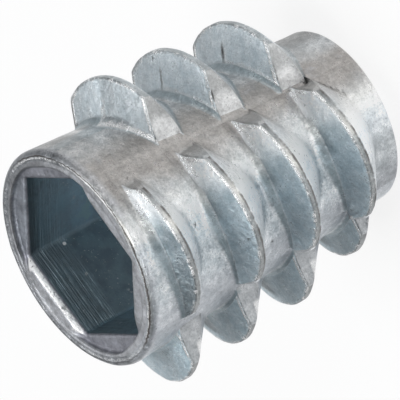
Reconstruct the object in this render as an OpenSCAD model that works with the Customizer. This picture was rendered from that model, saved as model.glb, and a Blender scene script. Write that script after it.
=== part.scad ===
// Threaded insert for wood, die cast in zinc alloy in one piece.
// It stands on its lead-in end with the drive socket up, and the axis is +Z.
// Four slides form the outside. Each one leaves a stack of fins, and together
// the fins follow a coarse right-hand wood thread with a gap at every parting line.

/* [Body] */
// Overall length
body_length = 20; // [16:0.5:30]
// Outer diameter at the drive end
head_d = 14; // [13.4:0.1:16]
// Outer diameter at the lead-in end
foot_d = 10.8; // [10.4:0.1:13]
// Rounding of the drive-end rim
rim_round = 0.45; // [0.1:0.05:0.6]
// Rounding of the lead-in edge
foot_round = 0.25; // [0.1:0.05:0.5]

/* [Drive socket] */
// Hex key size, across the flats
key_size = 10; // [9:0.1:10.2]
// Depth of the socket
socket_depth = 8; // [5:0.5:9]
// Turn of the socket from the parting lines, in degrees
socket_turn = 2.5; // [0:0.5:30]
// Depth of the round step in the mouth
mouth_depth = 0.4; // [0.1:0.05:0.8]

/* [Machine thread] */
// Nominal thread diameter
thread_d = 10; // [8:1:10]
// Thread pitch
thread_pitch = 1.5; // [1:0.25:1.5]
// Size of the chamfer at the thread's open end
thread_chamfer = 0.35; // [0.1:0.05:0.5]

/* [Wood thread] */
// Pitch of the fins
fin_pitch = 4.5; // [4:0.1:5]
// Number of fins, four to a turn
fin_count = 14; // [8:1:14]
// Depth of the first crest below the drive end
first_crest = 2.08; // [2:0.05:3]
// Reach of a fin from the axis, measured at the drive end
fin_reach = 9.62; // [9:0.05:10]
// Radius of a fin's round crest
crest_r = 5.12; // [4.8:0.05:6]
// Width of the flat on the crest
crest_w = 0.42; // [0.2:0.02:0.6]
// Slope of the holding flank, towards the drive end
holding_angle = 15.5; // [5:0.5:20]
// Slope of the leading flank, towards the lead-in end
leading_angle = 41; // [30:0.5:45]
// How far the fins of each slide reach clockwise from its pull line, slides 1 to 4
fin_before = [4.4, 3.5, 4.1, 3.9]; // [3:0.1:4.6]
// How far they reach anticlockwise from it
fin_after = [4.1, 3.9, 4.1, 3.3]; // [3:0.1:4.6]
// How far off its pull line, anticlockwise, each slide's fins have their own centres
fin_shift = [0, 0.1, 0, -0.3]; // [-0.5:0.1:0.5]
// Draft of the cut ends, in degrees: a fin narrows as it stands out
end_draft = 6; // [0:1:10]
// How much lower the first fin is
first_fade = 0.9; // [0:0.05:1.2]
// How much lower the last fin is
last_fade = 0.72; // [0:0.05:1.2]

/* [Hidden] */
$fn = 96;
eps = 0.01;
taper = (head_d - foot_d) / 2 / body_length;
bore_r = (thread_d - thread_pitch) / 2;
socket_r = key_size / sqrt(3);
mouth_clearance = 0.1;
mouth_r = socket_r + mouth_clearance;
lead_angle = atan(fin_pitch / (PI * (head_d + 2 * crest_w)));
fin_inner_r = 1.75;
slides = 4;
slide_turn = 360 / slides;
round_steps = 4;
fin_colour = [0.74, 0.77, 0.80];

// How much a fin is cut down: only the two at the ends of the thread run out
function fade(i) = i == 0 ? first_fade : i == fin_count - 1 ? last_fade : 0;

// Distance of fin i's crest below the drive end
function crest_depth(i) = first_crest + fin_pitch * i / slides;

// Distance of fin i's own centre from the axis of the insert
function fin_offset(i) = fin_reach - taper * crest_depth(i) - crest_r - fade(i);

// Which slide makes fin i
function slide(i) = i % slides;

// Quarter arc of radius r about a centre, from one angle to the next
function arc(centre, r, from) = [for (i = [0:round_steps]) let (a = from + 90 * i / round_steps)
    centre + r * [cos(a), sin(a)]];

// Tapered core, turned about the axis
module core() {
    rotate_extrude()
        polygon(concat(
            [[0, 0]],
            arc([foot_d / 2 - foot_round, foot_round], foot_round, -90),
            arc([head_d / 2 - rim_round, body_length - rim_round], rim_round, 0),
            [[0, body_length]]));
}

// Section of a fin, from inside the core out to the crest
module fin_section() {
    depth = crest_r - fin_inner_r;
    polygon([
        [fin_inner_r, depth * tan(holding_angle)],
        [crest_r, 0],
        [crest_r, -crest_w],
        [fin_inner_r, -crest_w - depth * tan(leading_angle)]]);
}

// Space that one slide shapes, from the axis out along +X, given its two reaches
module slide_space(before, after) {
    inner = head_d / 2 * tan(end_draft);
    outer = (fin_reach - head_d / 2) * tan(end_draft);
    linear_extrude(body_length)
        polygon([
            [0, -before - inner],
            [fin_reach, -before + outer],
            [fin_reach, after - outer],
            [0, after + inner]]);
}

// One fin: a tilted round disc, cut off where its slide ends
module fin(i) {
    rotate([0, 0, -slide_turn * (i + 1)])
        intersection() {
            translate([fin_offset(i), 0, body_length - crest_depth(i)])
                rotate([lead_angle, 0, 0])
                    translate([0, fin_shift[slide(i)], 0])
                        rotate_extrude()
                            fin_section();
            slide_space(fin_before[slide(i)], fin_after[slide(i)]);
        }
}

// Hex socket with the round step in its mouth
module socket() {
    translate([0, 0, body_length - socket_depth])
        rotate([0, 0, 30 + socket_turn])
            cylinder(r = socket_r, h = socket_depth + eps, $fn = 6);
    translate([0, 0, body_length - mouth_depth])
        cylinder(r = mouth_r, h = mouth_depth + eps);
}

// Bore of the machine thread at its minor diameter, chamfered where it opens
module thread_bore() {
    translate([0, 0, -eps])
        cylinder(r = bore_r, h = body_length);
    translate([0, 0, -eps])
        cylinder(r1 = bore_r + thread_chamfer + eps, r2 = bore_r, h = thread_chamfer + eps);
}

module insert() {
    color(fin_colour)
        difference() {
            union() {
                core();
                for (i = [0:fin_count - 1]) fin(i);
            }
            socket();
            thread_bore();
        }
}

insert();
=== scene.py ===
import math
from types import SimpleNamespace

import bmesh
import bpy
from mathutils import Matrix, Vector


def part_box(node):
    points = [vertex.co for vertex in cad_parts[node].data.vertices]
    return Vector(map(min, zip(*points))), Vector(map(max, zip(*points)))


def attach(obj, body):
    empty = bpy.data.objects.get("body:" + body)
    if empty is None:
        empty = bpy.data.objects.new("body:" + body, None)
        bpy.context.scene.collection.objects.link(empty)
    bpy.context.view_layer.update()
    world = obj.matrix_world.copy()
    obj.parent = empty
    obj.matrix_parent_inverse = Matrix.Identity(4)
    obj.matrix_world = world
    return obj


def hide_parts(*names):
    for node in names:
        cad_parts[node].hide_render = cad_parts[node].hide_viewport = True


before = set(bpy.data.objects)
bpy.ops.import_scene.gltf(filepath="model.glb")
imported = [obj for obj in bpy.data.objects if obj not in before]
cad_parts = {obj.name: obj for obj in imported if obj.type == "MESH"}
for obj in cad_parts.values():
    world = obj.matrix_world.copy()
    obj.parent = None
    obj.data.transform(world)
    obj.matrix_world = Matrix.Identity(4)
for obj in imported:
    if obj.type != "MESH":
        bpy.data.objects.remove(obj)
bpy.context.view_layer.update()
mm = 0.001


class Field:
    # a socket in a node tree, so that node sums can be written like plain arithmetic
    def __init__(self, tree, socket):
        self.tree = tree
        self.socket = socket

    def calc(self, operation, *others):
        node = self.tree.nodes.new("ShaderNodeMath")
        node.operation = operation
        for socket, value in zip(node.inputs, (self,) + others):
            plug(self.tree, value, socket)
        return Field(self.tree, node.outputs[0])

    def __add__(self, other):
        return self.calc("ADD", other)

    def __sub__(self, other):
        return self.calc("SUBTRACT", other)

    def __mul__(self, other):
        return self.calc("MULTIPLY", other)

    def __truediv__(self, other):
        return self.calc("DIVIDE", other)

    def __rsub__(self, other):
        return self * -1 + other

    __radd__ = __add__
    __rmul__ = __mul__

    def __rtruediv__(self, other):
        return self.calc("POWER", -1) * other

    def __neg__(self):
        return self * -1

    def above(self, other):
        return self.calc("GREATER_THAN", other)

    def least(self, other):
        return self.calc("MINIMUM", other)

    def most(self, other):
        return self.calc("MAXIMUM", other)

    def root(self):
        return self.most(0).calc("SQRT")

    def sin(self):
        return self.calc("SINE")

    def cos(self):
        return self.calc("COSINE")

    def tan(self):
        return self.calc("TANGENT")

    def floor(self):
        return self.calc("FLOOR")

    def size(self):
        return self.calc("ABSOLUTE")

    def softMost(self, other, blend):
        return self.calc("SMOOTH_MAX", other, blend)

    def softLeast(self, other, blend):
        return self.calc("SMOOTH_MIN", other, blend)

    def between(self, low, high):
        return ((self - low) / (high - low)).most(0).least(1)

    def ease(self, low, high):
        t = self.between(low, high)
        return t * t * (3 - 2 * t)

    def fade(self, low, high):
        return 1 - self.ease(low, high)

    def near(self, middle, inner, outer):
        # 1 up to inner away from the middle, and 0 from outer on
        return (self - middle).size().fade(inner, outer)

    def to(self, other, share):
        return self + (other - self) * share


def plug(tree, value, socket):
    if isinstance(value, Field):
        tree.links.new(value.socket, socket)
    else:
        socket.default_value = value


cameraView = {
    "azimuth": 18.0,      # degrees round the insert, from -Y towards +X
    "elevation": 28.91,
    "roll": -118.94,      # the picture is turned, so the insert appears to lie down
    "span": 23.28,        # width of the view, in mm
    "aimRight": 7.197,    # centre of the view from the middle of the drive end, in mm
    "aimDown": -3.478,
    "distance": 300.0,
    "nearest": 1.0,       # nearest thing that it shows, in mm
}


def makeCamera(view):
    azimuth = math.radians(view["azimuth"])
    elevation = math.radians(view["elevation"])
    roll = math.radians(view["roll"])
    back = Vector((math.sin(azimuth) * math.cos(elevation),
                   -math.cos(azimuth) * math.cos(elevation),
                   math.sin(elevation)))
    level = Vector((math.cos(azimuth), math.sin(azimuth), 0))
    upright = back.cross(level)
    right = level * math.cos(roll) + upright * math.sin(roll)
    up = back.cross(right)
    driveEnd = Vector((0, 0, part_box("insert")[1].z))
    aim = driveEnd + (right * view["aimRight"] - up * view["aimDown"]) * mm
    data = bpy.data.cameras.new("view")
    data.type = "ORTHO"
    data.ortho_scale = view["span"] * mm
    data.clip_start = view["nearest"] * mm
    camera = bpy.data.objects.new("view", data)
    bpy.context.scene.collection.objects.link(camera)
    turn = Matrix((right, up, back)).transposed().to_4x4()
    camera.matrix_world = Matrix.Translation(aim + back * view["distance"] * mm) @ turn
    bpy.context.scene.camera = camera


insertSizes = {           # mm and degrees
    "Body Length": 20.0,
    "Head Radius": 7.0,
    "Foot Radius": 5.4,
    "Socket Turn": 2.5,
    "Thread Pitch": 1.5,
    "Thread Depth": 0.75,
    "Fin Pitch": 4.5,
    "Fin Count": 14.0,
    "First Crest": 2.08,
    "Fin Reach": 9.62,
    "Crest Radius": 5.12,
    "Crest Width": 0.42,
    "Holding Angle": 15.5,
    "Leading Angle": 41.0,
    "End Draft": 6.0,
    "First Fade": 0.9,
    "Last Fade": 0.72,
    "Root Fillet": 0.5,
    "Root Width": 1.1,
    "Root Lift": 0.3,
    "Root Softness": 0.06,
    "Crest Softness": 0.14,
    "Half Lean": 0.12,
    "Crest Wear": 0.05,
    "Unevenness": 0.05,
    "Rim Burr": 0.06,
    "Mouth Filling": 0.3,
    "Mouth Washout": 0.25,
}
reachBefore = [4.4, 3.5, 4.1, 3.9]    # one for each slide, clockwise from the front
reachAfter = [4.1, 3.9, 4.1, 3.3]
finShift = [0.0, 0.1, 0.0, -0.3]      # sideways, off the pull line
slideCount = 4
columns = 192                         # round the insert, 48 for each slide
finColumns, endColumns = 14, 6        # over half a fin and down its end; the rest are on the strip
widestFoot = math.radians(43.5)       # from the pull line to the foot of the widest fin
widestSpread = math.radians(44.6)     # and to the edge of the parting strip where no fin stands
footSpread = math.radians(2.8)        # by which the foot line moves out there
crowding = math.radians(70)           # columns crowd towards the ends of a fin
lateSwitch = 0.98                     # how far past the middle rows turn to the next fin, in mm
footLevel = (0.3, 1.5)                # heights over which the rows take up the tilt of the fins
headLevel = (1.3, 0.4)                # depths over which they lose it again

bodyLength, headRadius, footRadius = [insertSizes[name] for name in
                                      ("Body Length", "Head Radius", "Foot Radius")]
faceHeight, seamRadius = 19.94, 6.30         # of the end face inside its burr
mouthRadius, mouthFloor = 5.874, 19.6
socketFlat, socketFloor = 5.00, 12.0
boreRadius = 4.25

# Section of the insert: radius, height, rounding, free, hex and thread shares
outsideLine = [
    (4.90, 0.00, 0.00, 0, 0, 0),
    (5.15, 0.00, 0.00, 1, 0, 0),
    (footRadius, 0.00, 0.25, 1, 0, 0),
    (headRadius, bodyLength, 0.45, 1, 0, 0),
    (6.52, bodyLength, 0.00, 1, 0, 0),
    (6.42, faceHeight, 0.00, 1, 0, 0),
    (seamRadius, faceHeight, 0.00, 0, 0, 0),
]
driveLine = [
    (seamRadius, faceHeight, 0.00, 0, 0, 0),
    (mouthRadius, faceHeight, 0.06, 1, 0, 0),
    (mouthRadius, mouthFloor, 0.06, 1, 0, 0),
    (socketFlat, mouthFloor, 0.10, 1, 1, 0),
    (socketFlat, socketFloor, 0.12, 1, 1, 0),
    (4.60, socketFloor, 0.00, 1, 0, 0),
]
boreLine = [
    (4.60, socketFloor, 0.00, 1, 0, 0),
    (boreRadius, socketFloor, 0.08, 1, 0, 0),
    (boreRadius, 11.3, 0.00, 1, 0, 1),
    (boreRadius, 0.80, 0.00, 1, 0, 1),
    (boreRadius, 0.35, 0.00, 1, 0, 0.4),
    (4.60, 0.00, 0.05, 1, 0, 0),
    (4.90, 0.00, 0.00, 0, 0, 0),
]
sectionLines = [(outsideLine, 0.08), (driveLine, 0.15), (boreLine, 0.09)]   # and row spacing
washBearing = math.radians(105)       # middle of the side where the mouth is washed out
filletSteps = 5
weldDistance = 0.0004                 # mm


def hexBearing(steps):
    # sides of the socket are at even steps, corners at odd ones
    return math.radians(insertSizes["Socket Turn"] + 30 * steps)


def makeSection():
    mesh = bpy.data.meshes.new("section")
    points = []
    edges = []
    shares = {"zone": [], "step": [], "round": [], "free": [], "hex": [], "thread": []}
    for zone, (line, step) in enumerate(sectionLines):
        for number, (radius, height, rounding, free, hexShare, thread) in enumerate(line):
            if number:
                edges.append((len(points) - 1, len(points)))
            points.append((radius, height, 0))
            for name, value in zip(shares, (zone, step, rounding, free, hexShare, thread)):
                shares[name].append(float(value))
    mesh.from_pydata(points, edges, [])
    for name, values in shares.items():
        mesh.attributes.new(name, "FLOAT", "POINT").data.foreach_set("value", values)
    section = bpy.data.objects.new("section", mesh)
    bpy.context.scene.collection.objects.link(section)
    return section


def named(tree, name):
    node = tree.nodes.new("GeometryNodeInputNamedAttribute")
    node.data_type = "FLOAT"
    node.inputs["Name"].default_value = name
    return Field(tree, node.outputs["Attribute"])


def store(tree, geometry, name, value):
    node = tree.nodes.new("GeometryNodeStoreNamedAttribute")
    node.data_type = "FLOAT"
    node.domain = "POINT"
    tree.links.new(geometry, node.inputs["Geometry"])
    node.inputs["Name"].default_value = name
    plug(tree, value, node.inputs["Value"])
    return node.outputs["Geometry"]


def split(tree, vector):
    node = tree.nodes.new("ShaderNodeSeparateXYZ")
    tree.links.new(vector, node.inputs[0])
    return [Field(tree, output) for output in node.outputs]


def noise(tree, place, scale, detail, roughness=0.5, seed=None):
    node = tree.nodes.new("ShaderNodeTexNoise")
    if seed is not None:
        node.noise_dimensions = "4D"
        node.inputs["W"].default_value = seed
    tree.links.new(place, node.inputs["Vector"])
    plug(tree, scale, node.inputs["Scale"])
    node.inputs["Detail"].default_value = detail
    node.inputs["Roughness"].default_value = roughness
    return Field(tree, node.outputs[0])


def unevenness(tree, place, size, detail, seed):
    # noise between 0 and 1, with features of about that size in mm
    return noise(tree, place, 1 / size, detail, seed=seed)


def pick(tree, number, values):
    node = tree.nodes.new("GeometryNodeIndexSwitch")
    node.data_type = "FLOAT"
    while len(node.index_switch_items) < len(values):
        node.index_switch_items.new()
    plug(tree, number + 0.5, node.inputs["Index"])
    for socket, value in zip(node.inputs[1:], values):
        plug(tree, value, socket)
    return Field(tree, node.outputs[0])


def sweepSection(tree, geometry):
    # resamples the section lines and turns them about the axis
    nodes = tree.nodes
    toCurve = nodes.new("GeometryNodeMeshToCurve")
    tree.links.new(geometry, toCurve.inputs["Mesh"])
    fillet = nodes.new("GeometryNodeFilletCurve")
    fillet.mode = "POLY"
    fillet.inputs["Count"].default_value = filletSteps
    plug(tree, named(tree, "round"), fillet.inputs["Radius"])
    tree.links.new(toCurve.outputs[0], fillet.inputs["Curve"])
    resample = nodes.new("GeometryNodeResampleCurve")
    resample.mode = "LENGTH"
    plug(tree, named(tree, "step"), resample.inputs["Length"])
    tree.links.new(fillet.outputs[0], resample.inputs["Curve"])
    position = nodes.new("GeometryNodeInputPosition")
    radius, height = split(tree, position.outputs[0])[:2]
    profile = store(tree, resample.outputs[0], "ringRadius", radius)
    profile = store(tree, profile, "ringHeight", height)
    circle = nodes.new("GeometryNodeCurvePrimitiveCircle")
    circle.inputs["Resolution"].default_value = columns
    index = nodes.new("GeometryNodeInputIndex")
    ring = store(tree, circle.outputs["Curve"], "column", Field(tree, index.outputs[0]))
    sweep = nodes.new("GeometryNodeCurveToMesh")
    tree.links.new(ring, sweep.inputs["Curve"])
    tree.links.new(profile, sweep.inputs["Profile Curve"])
    return sweep.outputs[0]


def addFins(tree, size):
    pi = math.pi
    column = named(tree, "column")
    ringRadius = named(tree, "ringRadius")
    ringHeight = named(tree, "ringHeight")
    perSlide = columns / slideCount
    slide = (column / perSlide).floor().least(slideCount - 1)
    across = 1 - (column - slide * perSlide) / (perSlide / 2)      # 1 .. -1 over one slide
    side = across.above(0) * 2 - 1
    share = across.size()
    reach = pick(tree, slide, reachBefore).to(pick(tree, slide, reachAfter), across.above(0))
    shift = pick(tree, slide, finShift)

    finShare = finColumns / (perSlide / 2)
    endShare = (finColumns + endColumns) / (perSlide / 2)
    onFin = share.between(0, finShare)
    onEnd = share.between(finShare, endShare)
    onStrip = share.between(endShare, 1)

    draft = (size["End Draft"] * pi / 180).tan()
    crestRound = 2 * pi * (size["Head Radius"] + size["Crest Width"])
    lead = (size["Fin Pitch"] / crestRound).calc("ARCTANGENT")
    leadTan = lead.tan()
    leadCos = lead.cos()
    taper = (size["Head Radius"] - size["Foot Radius"]) / size["Body Length"]
    partingTan = math.tan(widestFoot)

    def endCut(out):
        # how far across the slide a fin may stand, at that distance along the pull
        return (reach + (size["Head Radius"] - out) * draft).least(out * partingTan)

    inside = (ringRadius * ringRadius - reach * reach).root()
    footAngle = (reach + (size["Head Radius"] - inside) * draft).calc("ARCTAN2", inside)
    footAngle = footAngle.least(widestFoot)
    footAcross = ringRadius * footAngle.sin()

    # rows follow the tilt of the fins, and level out at the ends and parting lines
    start, end = [size["Body Length"] - depth for depth in headLevel]
    level = ringHeight.ease(*footLevel) * ringHeight.fade(start, end)
    fraction = (onFin * crowding).sin() / math.sin(crowding)
    tilt = level * side * fraction * footAcross * leadTan * (1 - onStrip)
    height = ringHeight + tilt
    core = ringRadius + tilt * taper

    # the nearest fin of this slide, and how high this row is over its crest
    depth = size["Body Length"] - height + side * fraction * footAcross * leadTan
    first = size["First Crest"] + size["Fin Pitch"] * slide / slideCount
    number = ((depth - first - lateSwitch) / size["Fin Pitch"] + 0.5).floor()
    number = number.most(0).least(((size["Fin Count"] - 1 - slide) / slideCount).floor())
    crestDepth = first + number * size["Fin Pitch"]
    rise = (crestDepth - depth) * leadCos
    fin = slide + number * slideCount
    fade = (1 - fin.above(0.5)) * size["First Fade"]
    fade = fade + fin.above(size["Fin Count"] - 1.5) * size["Last Fade"]
    centre = size["Fin Reach"] - taper * crestDepth - size["Crest Radius"] - fade

    # the last slide is split along its middle, and the back half of its fins leans a little
    lean = slide.above(2.5) * across.between(0, 1) * size["Half Lean"]
    holdingSlope = (size["Holding Angle"] * pi / 180).tan()
    leadingSlope = (size["Leading Angle"] * pi / 180).tan()
    holding = size["Crest Radius"] - (rise + lean) / holdingSlope
    leading = size["Crest Radius"] + (rise + size["Crest Width"]) / leadingSlope
    where = tree.nodes.new("GeometryNodeInputPosition").outputs[0]
    worn = unevenness(tree, where, size=0.45, detail=3.0, seed=1.0).ease(0.5, 0.8)
    crest = size["Crest Radius"] - worn * size["Crest Wear"]
    rim = holding.least(leading).softLeast(crest, size["Crest Softness"]).most(0)
    onHolding = rise.above(-size["Crest Width"] / 2)

    def finsOut(acrossFin):
        # how far out the fins stand, at that distance to one side of the pull line
        turned = side * acrossFin / leadCos + rise * leadTan - shift
        square = rim * rim - turned * turned
        return centre + square.root() - (-square).root()

    footOut = core * footAngle.cos()
    acrossFin = fraction * endCut(finsOut(fraction * reach).most(footOut))
    fins = finsOut(acrossFin)
    body = (core * core - acrossFin * acrossFin).root()

    # above a fin the body runs up to a sharp root, and below it the two blend
    ramp = (1 + (fins - body) * holdingSlope / size["Root Width"]).between(0, 1)
    holdingOut = fins.softMost(body + ramp * ramp * size["Root Lift"], size["Root Softness"])
    out = fins.softMost(body, size["Root Fillet"]).to(holdingOut, onHolding)
    stand = out - body

    # the end face runs from the edge of the fin straight down to its foot, and where no fin
    # stands, its columns spread a little over the parting strip instead
    isEnd = onEnd.above(0)
    down = (1 - (onEnd * pi).cos()) * 0.5
    footAngle = (footAngle + footSpread * (1 - stand.ease(0.05, 0.6))).least(widestSpread)
    endAcross = acrossFin.to(core * footAngle.sin(), down)
    endOut = out.to(core * footAngle.cos(), down)
    endOut = endOut.most((core * core - endAcross * endAcross).root())
    out = out.to(endOut, isEnd)
    acrossFin = acrossFin.to(endAcross, isEnd)

    # over the parting strip the columns fan out evenly to the parting line
    stripAngle = footAngle.to(pi / slideCount, onStrip)
    isStrip = onStrip.above(0)
    out = out.to(core * stripAngle.cos(), isStrip)
    acrossFin = acrossFin.to(core * stripAngle.sin(), isStrip)

    # on the end faces of the body the columns even out
    free = named(tree, "free")
    evenAngle = share * (pi / slideCount)
    angle = evenAngle.to(acrossFin.calc("ARCTAN2", out), free)
    distance = core.to((out * out + acrossFin * acrossFin).root(), free)
    turn = (slide + 1) * (-pi / 2) + side * angle

    onOutside = 1 - named(tree, "zone").above(0.5)
    marks = {                 # read again by the cast skin
        "stand": stand * (1 - isEnd * down) * onOutside,
        "rise": rise,
        "endFace": isEnd * (1 - isStrip) * stand * onOutside,
        "across": side * fraction,
        "slide": slide,
    }
    # the skin stays true where a fin ends
    mayWave = 1 - (onFin.ease(0.7, 1) - onStrip.ease(0, 0.5))
    return (distance, turn, height), marks, mayWave


def addSocket(tree, size):
    pi = math.pi
    column = named(tree, "column")
    ringRadius = named(tree, "ringRadius")
    ringHeight = named(tree, "ringHeight")
    # a column meets each corner of the hex: the inside is turned by part of a column
    startTurn = -45
    cornerTurn = 0.625
    perColumn = 360 / columns
    turn = (startTurn - column * perColumn + cornerTurn * named(tree, "free")) * (pi / 180)
    corner = ((turn - size["Socket Turn"] * pi / 180 + pi / 6) / (pi / 3)).calc("FRACT")
    offFlat = (corner - 0.5) * (pi / 3)
    squareUp = 1 / offFlat.cos() - 1
    pitch = size["Thread Pitch"]
    phase = (ringHeight - pitch * turn / (2 * pi)).calc("PINGPONG", pitch / 2)
    groove = phase.between(pitch / 8, pitch * 0.4375)     # flats of 1/4 and 1/8 of the pitch
    radius = ringRadius * (1 + squareUp * named(tree, "hex"))
    radius = radius + groove * size["Thread Depth"] * named(tree, "thread")

    # along three of its six sides the step in the mouth is nearly filled with metal
    filled = (turn - hexBearing(-3)).cos().ease(0.45, 0.75)
    filled = filled.most((turn - hexBearing(4)).cos().ease(0.86, 0.94)) * size["Mouth Filling"]
    onStep = ringHeight.between(mouthFloor - 0.4, mouthFloor)
    onStep = onStep * (1 - ringHeight.between(mouthFloor, faceHeight))
    # and towards the back it is washed out wider
    washed = (turn - washBearing).cos().ease(-0.2, 0.2) * size["Mouth Washout"]
    atStep = ringRadius.between(socketFlat, mouthRadius)
    atStep = atStep * (1 - ringRadius.between(mouthRadius, seamRadius - 0.01))
    radius = radius + washed * ringHeight.above(mouthFloor - 0.01) * atStep
    return radius, turn, ringHeight + filled * onStep


def makeCastingTree():
    tree = bpy.data.node_groups.new("threadedInsert", "GeometryNodeTree")
    tree.interface.new_socket("Section", in_out="INPUT", socket_type="NodeSocketGeometry")
    for name in insertSizes:
        tree.interface.new_socket(name, in_out="INPUT", socket_type="NodeSocketFloat")
    for name in ("Cast Skin", "Socket Wall", "Thread Wall"):
        tree.interface.new_socket(name, in_out="INPUT", socket_type="NodeSocketMaterial")
    tree.interface.new_socket("Casting", in_out="OUTPUT", socket_type="NodeSocketGeometry")
    nodes = tree.nodes
    start = nodes.new("NodeGroupInput")
    size = {name: Field(tree, start.outputs[name]) for name in insertSizes}
    swept = sweepSection(tree, start.outputs["Section"])

    outside, marks, mayWave = addFins(tree, size)
    inside = addSocket(tree, size)
    isInside = named(tree, "zone").above(0.5)
    radius, turn, height = [one.to(other, isInside) for one, other in zip(outside, inside)]

    # a ragged burr round the rim
    where = nodes.new("GeometryNodeInputPosition").outputs[0]
    ringRadius, ringHeight = named(tree, "ringRadius"), named(tree, "ringHeight")
    ragged = unevenness(tree, where, size=0.35, detail=3.0, seed=5.0).ease(0.4, 0.62)
    onBurr = ringRadius.ease(6.44, 6.5) * ringRadius.fade(6.54, 6.62) * ringHeight.above(19.96)
    height = height - ragged * size["Rim Burr"] * onBurr

    place = nodes.new("ShaderNodeCombineXYZ")
    for value, socket in zip((radius * turn.cos(), radius * turn.sin(), height), place.inputs):
        plug(tree, value, socket)
    for name, value in marks.items():
        swept = store(tree, swept, name, value)
    move = nodes.new("GeometryNodeSetPosition")
    tree.links.new(swept, move.inputs["Geometry"])
    tree.links.new(place.outputs[0], move.inputs["Position"])

    # the skin of the casting isn't quite even: it is pushed in, more in one place than another
    waves = unevenness(tree, where, size=1.6, detail=2.0, seed=3.0) - 0.8
    ripple = unevenness(tree, where, size=0.5, detail=1.0, seed=7.0) - 0.8
    push = nodes.new("ShaderNodeVectorMath")
    push.operation = "SCALE"
    tree.links.new(nodes.new("GeometryNodeInputNormal").outputs[0], push.inputs[0])
    offTop = 1 - ringHeight.between(size["Body Length"] - 0.6, size["Body Length"] - 0.1)
    onBody = ringHeight.between(0.3, 0.8) * offTop * mayWave * (1 - isInside)
    amount = waves * size["Unevenness"] + ripple * size["Unevenness"] * 0.3
    plug(tree, amount * onBody, push.inputs["Scale"])
    uneven = nodes.new("GeometryNodeSetPosition")
    tree.links.new(move.outputs[0], uneven.inputs["Geometry"])
    tree.links.new(push.outputs[0], uneven.inputs["Offset"])

    weld = nodes.new("GeometryNodeMergeByDistance")
    weld.inputs["Distance"].default_value = weldDistance
    tree.links.new(uneven.outputs[0], weld.inputs["Geometry"])
    shrink = nodes.new("GeometryNodeTransform")
    shrink.inputs["Scale"].default_value = (mm, mm, mm)
    tree.links.new(weld.outputs[0], shrink.inputs["Geometry"])
    smooth = nodes.new("GeometryNodeSetShadeSmooth")
    tree.links.new(shrink.outputs[0], smooth.inputs[0])
    realize = nodes.new("GeometryNodeRealizeInstances")
    tree.links.new(smooth.outputs[0], realize.inputs[0])
    geometry = realize.outputs[0]
    zone = named(tree, "zone")
    for name, lowest in (("Cast Skin", -1), ("Socket Wall", 0.5), ("Thread Wall", 1.5)):
        finish = nodes.new("GeometryNodeSetMaterial")
        tree.links.new(geometry, finish.inputs["Geometry"])
        plug(tree, zone.above(lowest), finish.inputs["Selection"])
        tree.links.new(start.outputs[name], finish.inputs["Material"])
        geometry = finish.outputs[0]
    end = nodes.new("NodeGroupOutput")
    tree.links.new(geometry, end.inputs[0])
    return tree


def makeInsert(metals):
    section = makeSection()
    tree = makeCastingTree()
    modifier = section.modifiers.new("casting", "NODES")
    modifier.node_group = tree
    for socket in tree.interface.items_tree:
        if socket.in_out == "INPUT" and socket.name in insertSizes:
            modifier[socket.identifier] = insertSizes[socket.name]
        if socket.in_out == "INPUT" and socket.name in metals:
            modifier[socket.identifier] = metals[socket.name]
    seen = bpy.context.evaluated_depsgraph_get()
    mesh = bpy.data.meshes.new_from_object(section.evaluated_get(seen))
    section.modifiers.clear()
    bpy.data.objects.remove(section)
    work = bmesh.new()
    work.from_mesh(mesh)
    bmesh.ops.recalc_face_normals(work, faces=work.faces)
    work.to_mesh(mesh)
    work.free()
    insert = bpy.data.objects.new("insertCasting", mesh)
    bpy.context.scene.collection.objects.link(insert)
    triangles = sum(len(face.vertices) - 2 for face in mesh.polygons)
    print("insert:", len(mesh.vertices), "points,", triangles, "triangles")
    return insert


zincLook = {
    "pale": (0.93, 0.95, 0.97, 1),
    "teal": (0.38, 0.485, 0.54, 1),
    "brown": (0.40, 0.375, 0.355, 1),
    "lilac": (0.50, 0.52, 0.56, 1),
    "grimeAndShade": (0.10, 0.09, 0.085, 1),
    "brightWhite": (0.98, 0.98, 0.98, 1),
    "shade": (0.21, 0.22, 0.22, 1),
    "dark": (0.18, 0.225, 0.255, 1),
    "deepTeal": (0.27, 0.36, 0.40, 1),
    "mouth": (0.29, 0.295, 0.33, 1),
    "creamHighlight": (0.96, 0.92, 0.86, 1),
    "metallic": 0.85,
    "skinBump": 0.05,                  # depth of the grain, in mm
    "socketBump": 0.03,
    "threadBump": 0.012,
    "brownStain": -42,                 # bearings of the stains, in degrees
    "lilacStain": -136,
    "rimSheen": -47,                    # bearings where a highlight is painted on the rim, and where it is beaded
    "beadedRim": -108,
    "bead": (-0.58, 5.56, 17.15),      # of metal, stuck to a wall of the socket
    "grain": (0.8, 0.13, 0.3),         # sizes of patches and grain in mm, and share of pits
    "socketGrain": (1.4, 0.12, 0.35),
    "threadGrain": (1.0, 0.1, 0.2),
    "skinRoughness": 0.24,             # of clean metal, before patches and grain
    "socketRoughness": 0.34,
    "threadRoughness": 0.3,
}
skinNoise = {                          # waves to a metre, detail and roughness
    "cloud": (260, 3, 0.6),
    "streak": (420, 5, 0.75),
    "broken": (1700, 4, 0.7),
    "fleck": (2600, 4, 0.75),
    "speck": (9000, 2, 0.7),
}


def mixColour(tree, share, first, second):
    node = tree.nodes.new("ShaderNodeMix")
    node.data_type = "RGBA"
    plug(tree, share, node.inputs[0])
    for socket, colour in ((node.inputs[6], first), (node.inputs[7], second)):
        if isinstance(colour, bpy.types.NodeSocket):
            tree.links.new(colour, socket)
        else:
            socket.default_value = colour
    return node.outputs[2]


def paint(tree, colour, layers):
    # each layer covers a share of what is below it with a colour
    for share, cover in layers:
        colour = mixColour(tree, share, colour, cover)
    return colour


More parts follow.
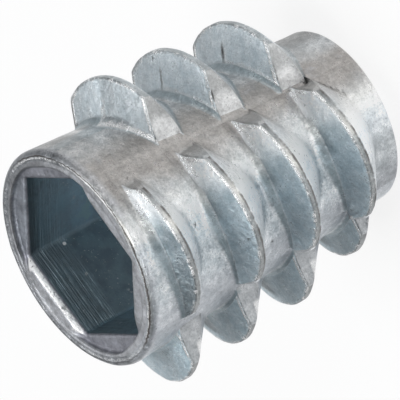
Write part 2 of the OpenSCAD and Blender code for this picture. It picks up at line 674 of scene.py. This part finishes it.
def scaleColour(tree, colour, factor):
    node = tree.nodes.new("ShaderNodeVectorMath")
    node.operation = "SCALE"
    tree.links.new(colour, node.inputs[0])
    plug(tree, factor, node.inputs["Scale"])
    return node.outputs[0]


def makeCastGrain():
    # shared by every surface of the casting: patches, fine grain, pits, and a height for bump
    group = bpy.data.node_groups.new("castGrain", "ShaderNodeTree")
    for name in ("Patch Size", "Grain Size", "Pit Share"):
        group.interface.new_socket(name, in_out="INPUT", socket_type="NodeSocketFloat")
    for name in ("Patches", "Grain", "Pits", "Height"):
        group.interface.new_socket(name, in_out="OUTPUT", socket_type="NodeSocketFloat")
    start = group.nodes.new("NodeGroupInput")
    end = group.nodes.new("NodeGroupOutput")
    place = group.nodes.new("ShaderNodeTexCoord").outputs["Object"]
    patchSize, grainSize, pitShare = [Field(group, socket) for socket in start.outputs[:3]]

    patches = noise(group, place, 1 / patchSize, 5, 0.7).ease(0.36, 0.64)
    grain = noise(group, place, 1 / grainSize, 4, 0.75).between(0.3, 0.7)
    bumps = noise(group, place, 1 / (grainSize * 3.2), 3, 0.6)
    cells = group.nodes.new("ShaderNodeTexVoronoi")
    group.links.new(place, cells.inputs["Vector"])
    plug(group, 1 / (grainSize * 6), cells.inputs["Scale"])
    chosen = noise(group, place, 1 / (grainSize * 11), 1, 0.6)
    chosen = chosen.ease(0.98 - pitShare, 1.02 - pitShare)
    away = Field(group, cells.outputs["Distance"]) + (grain - 0.5) * 0.22 + (bumps - 0.5) * 0.3
    pits = away.fade(0.04, 0.2) * chosen
    height = grain * 0.3 + bumps * 1.1 + patches * 0.3 - pits
    for value, socket in zip((patches, grain, pits, height), end.inputs):
        plug(group, value, socket)
    return group


def placeGrain(tree, group, patchSize, grainSize, pitShare):
    node = tree.nodes.new("ShaderNodeGroup")
    node.node_tree = group
    for socket, value in zip(node.inputs, (patchSize * mm, grainSize * mm, pitShare)):
        socket.default_value = value
    return [Field(tree, socket) for socket in node.outputs]


def attribute(tree, name):
    node = tree.nodes.new("ShaderNodeAttribute")
    node.attribute_name = name
    return Field(tree, node.outputs["Fac"])


def newMetal(name, look):
    metal = bpy.data.materials.new(name)
    metal.use_nodes = True
    tree = metal.node_tree
    shader = tree.nodes["Principled BSDF"]
    shader.inputs["Metallic"].default_value = look["metallic"]
    return metal, tree, shader


def bumpInto(tree, shader, height, depth):
    bump = tree.nodes.new("ShaderNodeBump")
    bump.inputs["Distance"].default_value = depth * mm
    plug(tree, height, bump.inputs["Height"])
    tree.links.new(bump.outputs[0], shader.inputs["Normal"])


def readPlace(tree):
    # where a point of the surface is, in mm, and its bearing from the axis
    at = SimpleNamespace(place=tree.nodes.new("ShaderNodeTexCoord").outputs["Object"])
    at.x, at.y, at.z = [value / mm for value in split(tree, at.place)]
    at.radius = (at.x * at.x + at.y * at.y).root()
    at.bearing = at.y.calc("ARCTAN2", at.x)
    return at


def readSkin(tree, look, grainGroup):
    at = readPlace(tree)
    at.patches, at.grain, at.pits, at.height = placeGrain(tree, grainGroup, *look["grain"])
    at.cloud, at.streak, at.broken, at.fleck, at.speck = [
        noise(tree, at.place, *settings) for settings in skinNoise.values()]
    at.stand, at.rise, at.endHeight, at.sideways, slide = [
        attribute(tree, name) for name in ("stand", "rise", "endFace", "across", "slide")]
    at.toBack = at.y / at.radius
    at.toLeft = -at.x / at.radius
    # the back side, away from the camera, is painted darker as shade
    at.backSide = at.toBack.ease(-0.6, 0.0)
    at.frontSide = (-at.toBack).ease(0.55, 0.85)
    wavering = at.bearing + (at.cloud - 0.5) * 0.5
    at.brownStain = wavering.near(math.radians(look["brownStain"]), 0.12, 0.55)
    at.lilacStain = wavering.near(math.radians(look["lilacStain"]), 0.1, 0.5)
    at.raggedRadius = at.radius + (at.broken - 0.5) * 0.3 + (at.fleck - 0.5) * 0.12

    # which stack of fins it is on, and where on it: sideways is 1 to the right on the front
    # stack, to the front on the left-hand one and to the back on the right-hand one
    at.isFront = 1 - slide.above(0.5)
    at.isLeft = slide.above(0.5) * (1 - slide.above(1.5))
    at.isRight = slide.above(2.5)
    at.rightTop = at.z.ease(12, 13)                  # the right-hand stack's first fin
    at.leftTop = at.isLeft * at.z.ease(15.8, 16.2)   # and the left-hand stack's
    at.frontRight = at.isFront * at.sideways.ease(0.45, 0.75)
    at.frontLeft = at.isFront * (1 - at.sideways.above(0))
    at.rightFront = at.isRight * (-at.sideways).ease(0.02, 0.1)

    # the two flanks of a fin, its ends, and the hollow along its root, which gets painted shade
    at.endFace = at.endHeight.ease(0.15, 0.4)
    at.holding = at.rise.ease(-0.1, 0.06)
    at.leading = at.rise.fade(-0.6, -0.42) * at.stand.ease(0.05, 0.4) * (1 - at.endFace)
    foot = 0.27 - at.frontRight.most(at.rightFront * at.rightTop).most(at.leftTop) * 0.26
    at.onFlank = at.stand.ease(foot, foot + 0.09) * at.holding * (1 - at.endFace)
    at.offFlank = 1 - at.onFlank
    hollow = at.stand.ease(0.0, 0.16) * at.stand.fade(0.27, 0.36) * at.holding
    at.hollow = hollow * (1 - at.frontRight) * (1 - at.leftTop)
    return at


def bodyColour(tree, look, at):
    # pale body, teal holding flanks, painted shade in the hollow along the root of each, and painted
    # light on the leading flanks
    mottle = (at.patches * 0.45 + at.grain * 0.3 + at.fleck * 0.45).between(0.2, 0.95)
    mottle = mottle + (0.55 - mottle) * at.z.fade(2.5, 4.5) * 0.6
    # the teal share changes between the stacks and along the front flanks as painted light and shade
    teal = 0.98 - mottle * 0.32 - at.isRight * 0.3
    teal = teal - at.isFront * at.sideways.ease(0.35, 0.75) * 0.65
    return paint(tree, look["pale"], [
        ((1 - mottle) * 0.65, look["teal"]),
        (at.brownStain * (0.6 + at.streak * 0.6), look["brown"]),
        (at.lilacStain * (0.45 + at.streak * 0.5), look["lilac"]),
        (at.streak.ease(0.54, 0.68) * at.offFlank * 0.45, look["lilac"]),
        (at.backSide * 0.5, look["brown"]),
        (at.isRight * at.stand.above(0.01) * 0.35, look["teal"]),
        (at.hollow * (0.55 + at.grain * 0.3) * (1 - at.isRight * 0.3), look["deepTeal"]),
        # the leading flanks are painted paler, as light the lamps do not give them
        (at.leading * (1 - at.lilacStain) * 0.4, look["pale"]),
        (at.onFlank, look["pale"]),
        (at.onFlank * teal, look["teal"]),
    ])


def partColours(tree, look, at, colour, crestFlat):
    # the right-hand fins have ends painted bright as lit, darker towards their outer edge, and the
    # other fins' ends are painted darker as shade; the drive end is lilac, painted darker on the back
    # side as shade; the rim band and the flats of the crests are a darker grey, and the front of the
    # body gets a cream tint over its painted highlight
    darkOuterEnd = (at.stand + (at.streak - 0.5) * 0.8).ease(0.9, 1.5) * 0.5
    shadedEnds = (0.4 - at.isFront * 0.08) * (1 - at.isRight) * (1 - at.frontLeft)
    rimBand = at.z.ease(19.8, 19.92) * at.raggedRadius.ease(6.42, 6.5)
    rimBand = rimBand * at.frontSide * (0.5 + at.streak * 0.5)
    # a cream tint over the painted highlight band on the front body
    creamHighlight = at.isFront * at.offFlank * at.sideways.ease(0.15, 0.4) * at.sideways.fade(0.5, 0.85)
    return paint(tree, colour, [
        (at.endFace * (0.2 + at.isRight * 0.6), look["brightWhite"]),
        (at.endFace * at.isRight * darkOuterEnd, look["shade"]),
        (at.endFace * shadedEnds, look["shade"]),
        (at.z.ease(19.2, 19.7) * (0.45 + at.backSide * 0.4), look["lilac"]),
        (rimBand, look["shade"]),
        (crestFlat, look["shade"]),
        (creamHighlight * 0.4, look["creamHighlight"]),
    ])


def endMarks(at):
    # a crack and a glint run down the ends of a fin
    edgeway = at.sideways.size() + (at.broken - 0.5) * 0.05
    offEdge = at.endHeight - at.stand + (at.broken - 0.5) * 0.22
    crack = (at.onFlank * edgeway.ease(0.965, 0.98)).most(at.endFace * offEdge.fade(0.05, 0.11))
    crack = crack * (1 - at.isFront) * at.streak.ease(0.42, 0.56) * at.stand.fade(1.4, 1.8)
    crack = crack * at.rise.ease(-0.3, -0.1) * (1 - at.isLeft * 0.6) * 0.85
    glint = at.onFlank * edgeway.ease(0.9, 0.93) * edgeway.fade(0.96, 0.97)
    glint = glint * (at.broken + at.speck * 0.4).ease(0.55, 0.72) * (1 - at.frontLeft)
    corner = at.endFace * at.isLeft * at.stand.ease(1.1, 1.4) * at.rise.fade(-0.65, -0.5)
    return crack, glint.most(corner * 0.7)


def rootGlint(at):
    # painted highlight low on the flanks of the front fins, and on the front half of the right-hand
    # ones
    front = at.onFlank * at.stand.fade(0.4, 0.8) * (at.sideways * at.isFront).ease(0.3, 0.9)
    front = front * (0.7 - at.z.ease(15, 15.5) * 0.45)
    ragged = at.stand + (at.broken - 0.5) * 0.5 + (at.streak - 0.5) * 0.4 + at.rightTop * 0.24
    right = at.onFlank * at.rightFront * ragged.fade(0.38, 0.55) * (0.4 + at.rightTop * 0.45)
    return front.most(right)


def creaseMarks(at):
    # down the middle of the right-hand fins, where the back half leans, a dark line is painted as
    # shade of the crease, with a painted highlight next to it
    crease = at.sideways + (at.fleck - 0.5) * 0.08 + (at.streak - 0.5) * 0.05
    onRight = at.onFlank * at.isRight
    lastFin = at.z.fade(6, 7) * at.stand.fade(0.9, 1.6)
    middle = onRight * crease.size().fade(0.008, 0.035 + lastFin * 0.03)
    middle = middle * (at.cloud + at.fleck * 0.5 + lastFin * 0.15).ease(0.6, 0.8)
    middle = middle * (1 + lastFin * 0.5) * at.stand.fade(1.3, 1.8) * (1 - at.rightTop * 0.8)
    beside = onRight * (-crease).ease(0.01, 0.03) * (-crease).fade(0.06, 0.14)
    beside = beside * at.stand.fade(1.2, 1.8) * (at.fleck + at.streak).ease(0.85, 1.1)
    return middle, beside * (0.3 + at.rightTop * 0.4)


def rimMarks(look, at):
    # a ragged burr with a painted highlight and a crack outside it, a painted highlight on the rim at
    # the front, and beads left of that
    top = at.z.ease(19.6, 19.8)
    onBurr = 1 - at.toBack.ease(0.25, 0.6) * 0.85
    onBurr = top * onBurr * (1 - at.toLeft.ease(0.5, 0.75) * 0.6)
    burr = onBurr * at.raggedRadius.near(6.5, 0.03, 0.1) * (at.speck + at.streak).ease(0.9, 1.1)
    wander = at.radius + (at.broken - 0.5) * 0.16
    front = top * at.bearing.near(math.radians(look["rimSheen"]), 0.18, 0.4)
    front = front * wander.near(6.56, 0.1, 0.2) * (at.streak + at.speck * 0.3).ease(0.4, 0.56)
    torn = top * at.bearing.near(math.radians(look["beadedRim"]), 0.5, 0.8)
    beads = torn * wander.near(6.46, 0.06, 0.14) * (at.broken + at.fleck * 0.5).ease(0.82, 0.9)
    seam = onBurr * at.raggedRadius.near(6.64, 0.015, 0.06)
    seam = seam.most(torn * at.raggedRadius.near(6.62, 0.03, 0.11)) * at.streak.ease(0.36, 0.46)
    return burr, seam, front.most(beads)


def crestMarks(at):
    # a dark line along the lead-in edge of the crest, a painted highlight along the other one
    across = at.rise + (at.broken - 0.5) * 0.2
    high = at.stand.ease(0.5, 0.9) * (1 - at.endFace)
    line = high * across.ease(-0.48, -0.4) * across.fade(-0.34, -0.22) * (1 - at.isRight)
    line = line * (0.1 + at.streak.ease(0.38, 0.6) * 0.75)
    beads = at.broken + at.speck * 0.5 + at.isFront * at.sideways.ease(-0.2, 0.4) * 0.12
    edge = high * at.rise.ease(-0.16, 0.0) * at.rise.fade(0.015, 0.07) * beads.ease(0.72, 0.88)
    flat = high * across.ease(-0.42, -0.3) * at.rise.fade(-0.02, 0.03)
    flat = flat * (0.78 - at.isRight * 0.4 - at.isFront * at.sideways.ease(0.0, 0.6) * 0.12)
    return line, edge, flat * (0.5 + at.broken)


def frontTone(at):
    # painted light and shade: how much lighter or darker the front stack is in places
    sideways = at.sideways
    # a painted highlight band on the body, and brighter flanks and ends
    light = sideways.near(0.22, 0.15, 0.5) * at.offFlank * 0.32
    light = light + at.onFlank * (at.frontRight * 0.15 + sideways.fade(-0.1, 0.3) * 0.2)
    light = light + at.frontLeft * at.endFace * 0.25
    # the first fin painted darker, as shade
    firstFin = at.onFlank * at.z.ease(15, 15.5)
    firstFin = firstFin * (0.3 + sideways.fade(0.1, 0.6) * (0.05 + (1 - at.fleck) * 0.5))
    # painted shade on the body above each root
    root = sideways.ease(-0.1, 0.15) * at.rise.ease(0.42, 0.6) * at.rise.fade(0.9, 1.1)
    root = root * (0.42 - sideways.ease(0.5, 0.9) * 0.2)
    leadIn = at.offFlank * at.z.fade(1.8, 2.8) * sideways.fade(0.0, 0.4) * 0.25
    return at.isFront * (light - firstFin - root - leadIn)


def leftTone(at):
    # painted light and shade on the left-hand stack: a highlight near the crest and shade further
    # down on the back half of the flanks, and lighter front ends and first fin
    backHalf = at.isLeft * at.sideways.fade(-0.35, 0.08) * at.holding * at.stand.ease(0.05, 0.3)
    backHalf = backHalf * at.z.fade(15.8, 16.2) * (0.4 - at.rise.ease(0.1, 0.24) * 0.9)
    frontEnd = at.isLeft * at.sideways.ease(0.4, 0.7) * 0.2
    return backHalf + at.onFlank * (frontEnd + at.leftTop * 0.4)


def rightTone(at):
    # painted light and shade on the right-hand stack: the body lighter towards the front between the
    # fins, the flanks lighter on their front half but darker there on the first fin, and the ends
    # lighter near the foot and darker near the drive end
    between = at.offFlank * (-at.sideways).ease(0.4, 0.7) * (1 - at.brownStain * 0.7)
    between = between * at.z.ease(4, 5) * at.z.fade(14.5, 15.5) * 0.2
    flank = at.onFlank * (at.sideways.fade(0.0, 0.8) * 0.14 - at.rightFront * at.rightTop * 0.42)
    end = at.endFace * (0.22 - at.z.ease(3, 6) * 0.22 - at.z.ease(8, 11) * 0.12)
    return at.isRight * (between + flank + end)


def mottleTone(at):
    driveEnd = at.z.ease(19.3, 19.7) * (1 - at.frontSide)
    driveEnd = driveEnd * ((at.streak - 0.5) * 1.6 + (at.broken - 0.5) * 1.2 - 0.05)
    return (at.patches - 0.5) * 0.16 * at.offFlank + driveEnd


def makeCastSkin(look, grainGroup):
    metal, tree, shader = newMetal("castZinc", look)
    at = readSkin(tree, look, grainGroup)
    crack, endGlint = endMarks(at)
    crease, besideCrease = creaseMarks(at)
    burr, seam, rimSheenAndBeads = rimMarks(look, at)
    line, edge, crestFlat = crestMarks(at)
    # painted highlights on the crest edges, the burr, the rim, the fin ends, low on the roots and
    # next to the crease, with the rim's beads
    bright = edge.most(burr).most(rimSheenAndBeads).most(endGlint).most(rootGlint(at)).most(besideCrease)
    # dark lines, cracks and pits, with the crease's painted shade
    dark = line.most(seam).most(crack).most(at.pits * 0.8).most(crease * 0.6)

    colour = partColours(tree, look, at, bodyColour(tree, look, at), crestFlat)
    tone = frontTone(at) + leftTone(at) + rightTone(at) + mottleTone(at)
    dusting = (at.fleck * 0.45 + at.speck * 0.35 + at.grain * 0.2).between(0.3, 0.7) - 0.5
    dusting = 0.96 + dusting * (0.6 - at.onFlank * 0.2)
    shadow = at.toBack.ease(-0.5, -0.15) * (at.z.ease(16.8, 17.8) + at.z.fade(2.5, 3.5)) * 0.45
    colour = scaleColour(tree, colour, dusting * (1 + tone) * (1 - shadow))
    colour = paint(tree, colour, [(bright, look["brightWhite"]), (dark, look["grimeAndShade"])])
    tree.links.new(colour, shader.inputs["Base Color"])

    # the leading flanks and the rim's sheen are made less metallic, so they show paler as painted
    # light
    metallic = look["metallic"] - (at.leading * 0.4).most(rimSheenAndBeads * 0.8)
    plug(tree, metallic, shader.inputs["Metallic"])
    roughness = look["skinRoughness"] + (1 - at.patches) * 0.1 + at.grain * 0.08
    roughness = roughness + dark * 0.2 - bright * 0.1
    plug(tree, roughness, shader.inputs["Roughness"])
    height = at.height + at.fleck * 0.7 + at.speck * 0.2 + bright * 0.5 - dark * 0.5
    bumpInto(tree, shader, height, look["skinBump"])
    return metal


def makeSocketWall(look, grainGroup):
    metal, tree, shader = newMetal("socketZinc", look)
    patches, grain, pits, height = placeGrain(tree, grainGroup, *look["socketGrain"])
    at = readPlace(tree)
    stretch = tree.nodes.new("ShaderNodeMapping")
    stretch.inputs["Scale"].default_value = (0.045, 0.045, 1)
    tree.links.new(at.place, stretch.inputs["Vector"])
    drawn = noise(tree, stretch.outputs[0], 7000, 2, 0.6).between(0.3, 0.7)
    speck = noise(tree, at.place, 5200, 2, 0.7)
    blotch = noise(tree, at.place, 1100, 4, 0.7)

    # dark walls, with painted light making them lighter on the right and the left, and lighter deeper
    # down
    outer = at.z.ease(16.6, 17.1)
    walls = at.z.fade(19.35, 19.5)
    wallColour = mixColour(tree, patches * 0.5 + drawn * outer * 0.35, look["dark"], look["deepTeal"])
    rightWalls = (at.bearing - hexBearing(1)).cos().ease(0.46, 0.54) * at.z.fade(18.3, 19.3)
    leftWall = (at.bearing - hexBearing(6)).cos().ease(0.84, 0.89)
    lighter = (0.68 + at.z.fade(15, 18.5) * 0.65) * (1 + rightWalls * 1.5 + leftWall * 0.6)
    wallColour = scaleColour(tree, wallColour, lighter)

    # a mottled mouth, with a painted highlight along one side of its step
    mouthStep = at.z.ease(19.5, 19.58) * at.z.fade(19.66, 19.8)
    colour = paint(tree, look["lilac"], [
        ((1 - grain) * 0.5, look["brown"]),
        (at.z.fade(19.7, 19.85), look["mouth"]),
        (walls, wallColour),
        (mouthStep * at.bearing.near(hexBearing(2), 0.4, 0.55) * 0.3, look["dark"]),
    ])
    # the far side of the face is painted darker, as shade
    farFace = at.bearing.near(math.radians(45), 0.6, 1.0) * at.z.ease(19.7, 19.85)
    mottle = ((blotch - 0.5) * 1.8 + (speck - 0.5) * 0.9) * (1 - walls)
    colour = scaleColour(tree, colour, (1 - farFace * 0.4) * (1 + mottle))
    lip = at.bearing.near(hexBearing(4), 0.48, 0.52) * at.radius.fade(5.82, 5.86) * 0.85
    lip = lip * at.z.ease(19.5, 19.62) * at.z.fade(19.87, 19.895)
    lip = lip * (speck + grain * 0.2).ease(0.35, 0.55)
    glint = (pits * 0.4 + (speck - 0.69).above(0) * (1 - outer) * 0.7) * walls
    sides = [here - there for here, there in zip((at.x, at.y, at.z), look["bead"])]
    bead = sum(side * side for side in sides).root().fade(0.08, 0.14)
    colour = mixColour(tree, lip.most(glint).most(bead), colour, look["brightWhite"])
    tree.links.new(colour, shader.inputs["Base Color"])

    plug(tree, look["metallic"] - bead * 0.8, shader.inputs["Metallic"])
    plug(tree, look["socketRoughness"] + (1 - patches) * 0.2, shader.inputs["Roughness"])
    height = height * (1.4 - walls * 0.7) + drawn * outer * walls * 0.9
    bumpInto(tree, shader, height, look["socketBump"])
    return metal


def makeThreadWall(look, grainGroup):
    metal, tree, shader = newMetal("threadZinc", look)
    patches, grain, pits, height = placeGrain(tree, grainGroup, *look["threadGrain"])
    colour = paint(tree, look["pale"], [
        ((1 - patches) * 0.6, look["teal"]),
        (pits * 0.6, look["grimeAndShade"]),
    ])
    tree.links.new(colour, shader.inputs["Base Color"])
    plug(tree, look["threadRoughness"] + grain * 0.12, shader.inputs["Roughness"])
    bumpInto(tree, shader, height, look["threadBump"])
    return metal


floorLook = {
    "halfWidth": 0.6,        # metres
    "paper": (0.95, 0.95, 0.95, 1),
    "roughness": 0.9,
    "whiteShare": 0.85,      # how much of the plain white shows over the shaded paper
}


def makeFloor(look):
    mesh = bpy.data.meshes.new("floor")
    half = look["halfWidth"]
    corners = [(-half, -half, 0), (half, -half, 0), (half, half, 0), (-half, half, 0)]
    mesh.from_pydata(corners, [], [(0, 1, 2, 3)])
    floor = bpy.data.objects.new("floor", mesh)
    bpy.context.scene.collection.objects.link(floor)
    material = bpy.data.materials.new("paper")
    material.use_nodes = True
    tree = material.node_tree
    shader = tree.nodes["Principled BSDF"]
    shader.inputs["Base Color"].default_value = look["paper"]
    shader.inputs["Roughness"].default_value = look["roughness"]
    path = tree.nodes.new("ShaderNodeLightPath")
    seen = Field(tree, path.outputs["Is Camera Ray"])
    for ray in ("Is Glossy Ray", "Is Transmission Ray"):
        seen = seen.most(Field(tree, path.outputs[ray]))
    white = tree.nodes.new("ShaderNodeEmission")
    blend = tree.nodes.new("ShaderNodeMixShader")
    plug(tree, seen * look["whiteShare"], blend.inputs[0])
    tree.links.new(shader.outputs[0], blend.inputs[1])
    tree.links.new(white.outputs[0], blend.inputs[2])
    tree.links.new(blend.outputs[0], tree.nodes["Material Output"].inputs["Surface"])
    mesh.materials.append(material)


studioLight = {
    "worldColour": (0.93, 0.97, 1.0, 1),
    "world": 0.28,
    "aim": (0, 0, 0.01),
    "lamps": {             # place and width in metres, and radiance; each one faces the aim
        "overhead": ((0.0, 0.0, 0.5), 0.4, 4.2),
        "side": ((0.32, -0.33, 0.15), 0.2, 6.0),
        "rear": ((0.03, 0.40, 0.27), 0.3, 0.75),
    },
}


def makeLights(light):
    world = bpy.data.worlds.new("studio")
    world.use_nodes = True
    background = world.node_tree.nodes["Background"]
    background.inputs["Color"].default_value = light["worldColour"]
    background.inputs["Strength"].default_value = light["world"]
    bpy.context.scene.world = world
    aim = Vector(light["aim"])
    for name, (place, width, radiance) in light["lamps"].items():
        data = bpy.data.lights.new(name, "AREA")
        data.shape = "DISK"
        data.size = width
        data.energy = radiance * math.pi * (math.pi * width * width / 4)    # over its disc
        lamp = bpy.data.objects.new(name, data)
        lamp.location = place
        lamp.rotation_euler = (Vector(place) - aim).to_track_quat("Z", "Y").to_euler()
        bpy.context.scene.collection.objects.link(lamp)


bpy.context.scene.view_settings.view_transform = "Standard"
makeCamera(cameraView)
print("camera ready")
grainGroup = makeCastGrain()
metals = {
    "Cast Skin": makeCastSkin(zincLook, grainGroup),
    "Socket Wall": makeSocketWall(zincLook, grainGroup),
    "Thread Wall": makeThreadWall(zincLook, grainGroup),
}
print("metals ready")
insert = makeInsert(metals)
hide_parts("insert")
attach(insert, "root")
makeFloor(floorLook)
makeLights(studioLight)
print("lights ready")
